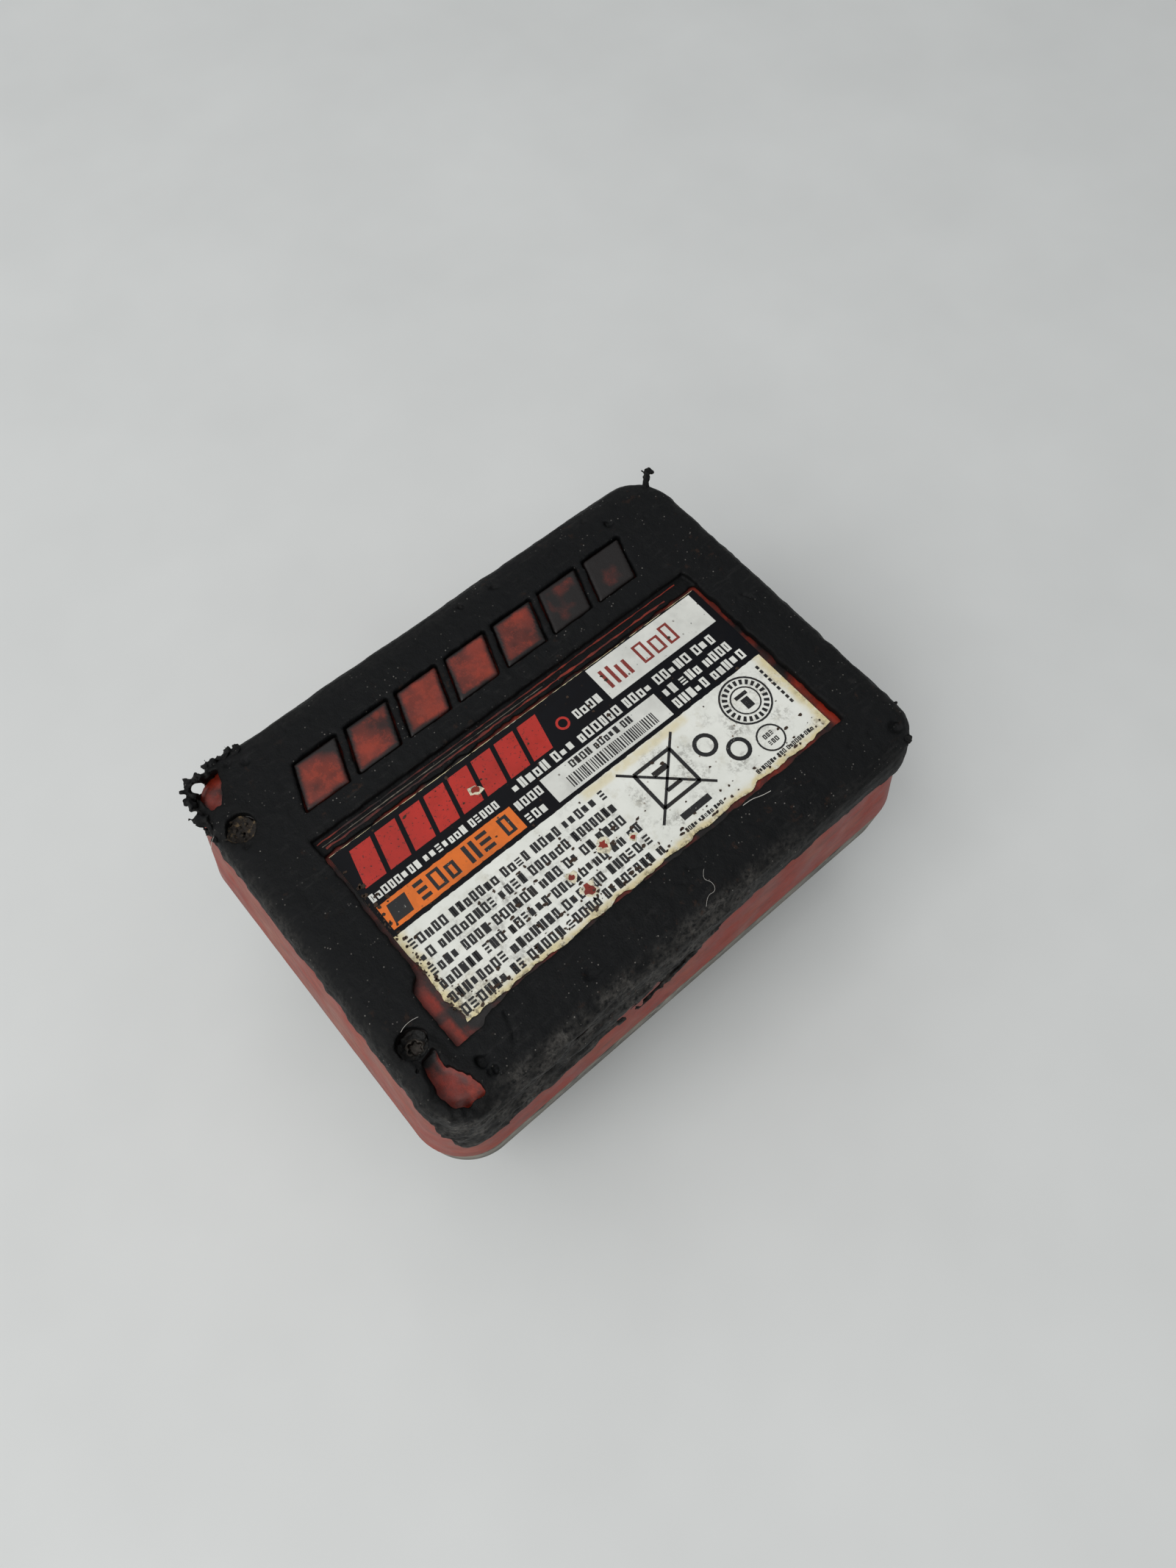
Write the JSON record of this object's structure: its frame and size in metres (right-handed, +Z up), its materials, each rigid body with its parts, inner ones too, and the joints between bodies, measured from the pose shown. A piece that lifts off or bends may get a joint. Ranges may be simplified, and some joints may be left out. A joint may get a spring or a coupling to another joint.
{
  "type": "cordless tool battery pack",
  "caption": "Rechargeable slide-on battery pack for a cordless tool: flared plastic case with rubber boot and label window, slide rails, sprung release latch and charge gauge.",
  "frame": {"origin": "centre of the pack's footprint, on the surface that the slide tower rests on, as the pack lies upside down", "axes": "+X along the pack and its slide direction, towards the release latch; +Y across the pack, towards the row of raised pads; +Z up, out of the rubber-booted base and its label"},
  "size_m": [0.1226, 0.0872, 0.066],
  "materials": {
    "red_plastic": "moulded, dusty and scuffed",
    "black_rubber": "worn over-moulded rubber, torn at two corners",
    "printed_label": "printed film, yellowed and grimy at its edges",
    "dark_plastic": "textured moulding with dust",
    "steel": "dull, dirty",
    "smoked_lens": "polished",
    "led": "clear moulding",
    "circuit_board": "solder mask",
    "copper_alloy": "plated spring metal",
    "cell_wrap": "shrink sleeve",
    "holder_plastic": "moulded",
    "nickel": "nickel-plated strip",
    "wire_insulation": "silicone",
    "chip": "moulded package",
    "foam": "closed-cell foam"
  },
  "bodies": {
    "housing": {"board_screw_1": "steel", "board_screw_2": "steel", "board_screw_3": "steel", "board_screw_4": "steel", "case_screw_back": "steel", "case_screw_front": "steel", "cell_1": "cell_wrap", "cell_10": "cell_wrap", "cell_2": "cell_wrap", "cell_3": "cell_wrap", "cell_4": "cell_wrap", "cell_5": "cell_wrap", "cell_6": "cell_wrap", "cell_7": "cell_wrap", "cell_8": "cell_wrap", "cell_9": "cell_wrap", "cell_holder_back": "holder_plastic", "cell_holder_front": "holder_plastic", "contact_1": "copper_alloy", "contact_2": "copper_alloy", "contact_3": "copper_alloy", "contact_4": "copper_alloy", "contact_5": "copper_alloy", "control_chip": "chip", "foam_pad": "foam", "fuse": "holder_plastic", "gauge_board": "circuit_board", "gauge_led_1": "led", "gauge_led_2": "led", "gauge_led_3": "led", "gauge_led_4": "led", "gauge_lens": "smoked_lens", "gauge_switch": "steel", "latch_retainer": "steel", "latch_spring_back": "steel", "latch_spring_front": "steel", "lead_negative": "nickel", "lead_positive": "nickel", "lower_case": "red_plastic", "main_board": "circuit_board", "mosfet_1": "chip", "mosfet_2": "chip", "nickel_strip_back_1": "nickel", "nickel_strip_back_3": "nickel", "nickel_strip_back_5": "nickel", "nickel_strip_front_1": "nickel", "nickel_strip_front_2": "nickel", "nickel_strip_front_4": "nickel", "rating_label": "printed_label", "rubber_boot": "black_rubber", "seam_gasket": "black_rubber", "sense_wire_1": "wire_insulation", "sense_wire_2": "wire_insulation", "sense_wire_3": "wire_insulation", "sense_wire_4": "wire_insulation", "terminal_block": "dark_plastic", "thermistor": "chip", "upper_case": "dark_plastic"},
    "latch": {"release_latch": "dark_plastic"},
    "gauge_key": {"gauge_button": "black_rubber"}
  },
  "joints": [
    {"name": "latch_slide", "type": "slide", "parent": "housing", "child": "latch", "axis": [0, 0, 1], "range_m": [0, 0.0045], "stiffness_N_per_m": 1200, "springref_m": -0.003, "deforming": ["latch_spring_back", "latch_spring_front"]},
    {"name": "gauge_press", "type": "slide", "parent": "housing", "child": "gauge_key", "axis": [1, 0, 0], "range_m": [0, 0.0005], "stiffness_N_per_m": 900, "springref_m": -0.001}
  ]
}
